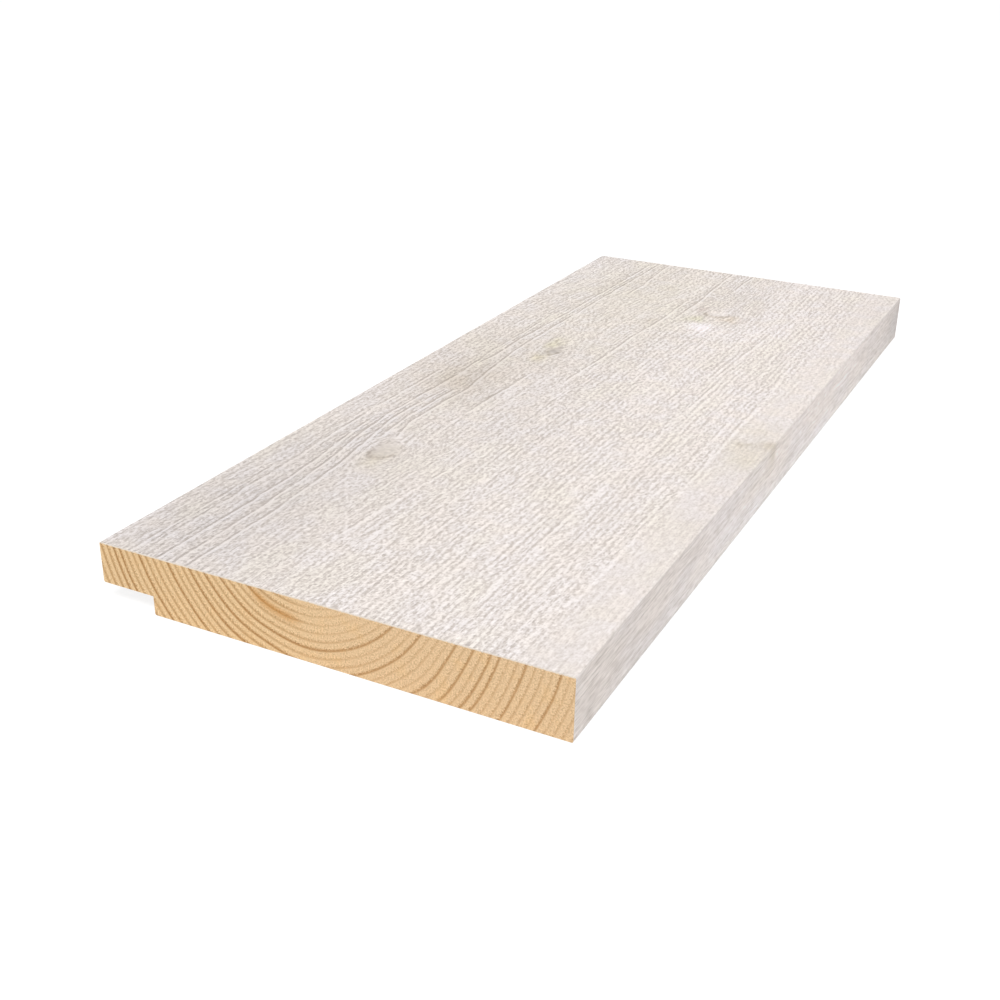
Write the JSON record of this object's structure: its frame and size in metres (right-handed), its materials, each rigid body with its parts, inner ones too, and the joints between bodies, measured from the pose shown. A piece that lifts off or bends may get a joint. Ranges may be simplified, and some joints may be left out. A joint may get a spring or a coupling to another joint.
{
  "type": "cladding board",
  "caption": "Flat softwood cladding board with a fine-sawn white face, a plain square edge, and a rebate along the back of the other edge that laps over the next board.",
  "frame": {"origin": "on the back's plane, under the middle of the board", "axes": "+X across the width from the rebated edge to the plain edge, +Y along the grain, +Z out of the painted face"},
  "size_m": [0.148, 0.36, 0.019],
  "materials": {
    "primed_softwood": "matt white primer over fine-sawn spruce, with bare end grain at the saw cuts"
  },
  "bodies": {
    "root": {"cladding_board": "primed_softwood"}
  },
  "joints": []
}
